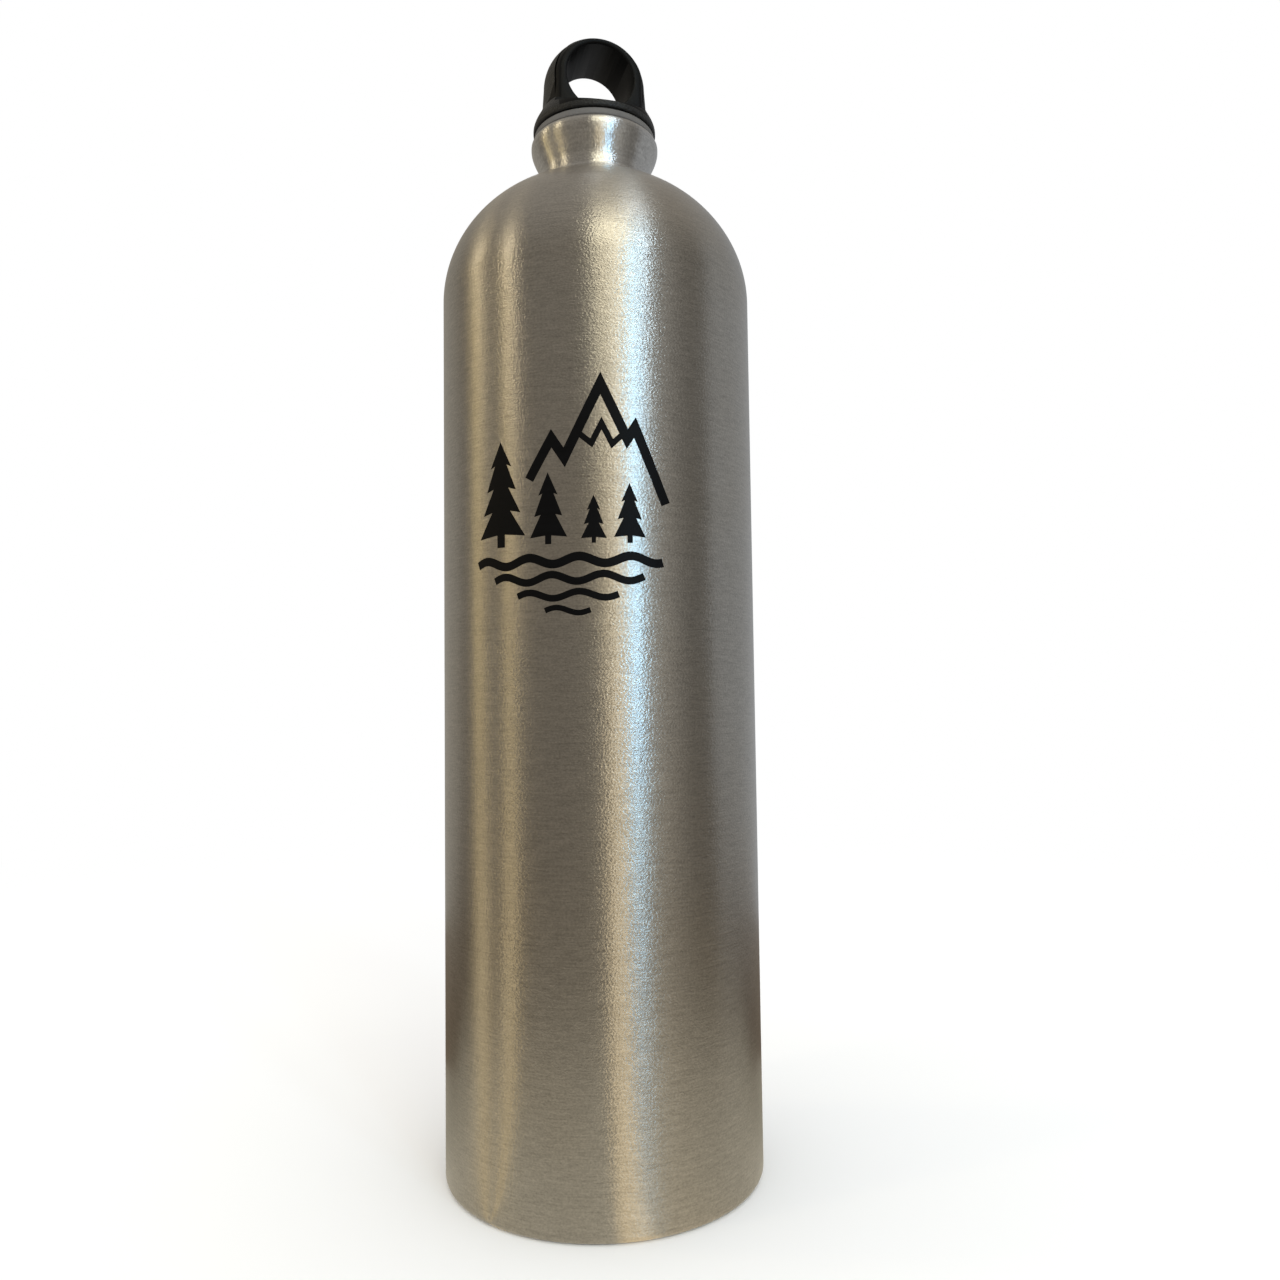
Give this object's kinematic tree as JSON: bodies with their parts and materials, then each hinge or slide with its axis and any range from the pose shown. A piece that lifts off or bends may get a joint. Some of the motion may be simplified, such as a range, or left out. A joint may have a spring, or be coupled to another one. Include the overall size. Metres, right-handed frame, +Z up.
{
  "type": "aluminium bottle",
  "caption": "Tall round brushed aluminium drinking bottle with a domed shoulder, a beaded neck and a black screw cap with a carrying loop.",
  "frame": {"origin": "on the bottle's axis, at the floor that the foot ring stands on", "axes": "+Z up along the bottle's axis; Y along the hole of the cap's loop, so that the loop's flats face -Y and +Y"},
  "size_m": [0.088, 0.088, 0.3229],
  "materials": {
    "shell_metal": "brushed round the axis under a clear satin lacquer",
    "insert_metal": "machined satin",
    "gasket_silicone": "matte silicone",
    "cap_plastic": "satin moulded, fine grain on the loop's round sides",
    "closure_plastic": "matte moulded",
    "print_ink": "screen-printed ink under the lacquer"
  },
  "bodies": {
    "bottle": {"bottle_shell": "shell_metal", "neck_thread_insert": "insert_metal"},
    "gasket": {"cap_gasket": "gasket_silicone"},
    "cap": {"cap_body": "cap_plastic", "stem_closure": "closure_plastic"}
  },
  "joints": [
    {"name": "cap_lift", "type": "slide", "parent": "bottle", "child": "gasket", "axis": [0, 0, 1], "range_m": [0, 0.016]},
    {"name": "cap_turn", "type": "hinge", "parent": "gasket", "child": "cap", "pos_m": [0, 0, 0.2951], "axis": [0, 0, 1], "range_deg": [0, 1440]}
  ],
  "couplings": [
    {"joint": "cap_lift", "follows": "cap_turn", "m_per_rad": 0.0006366}
  ]
}
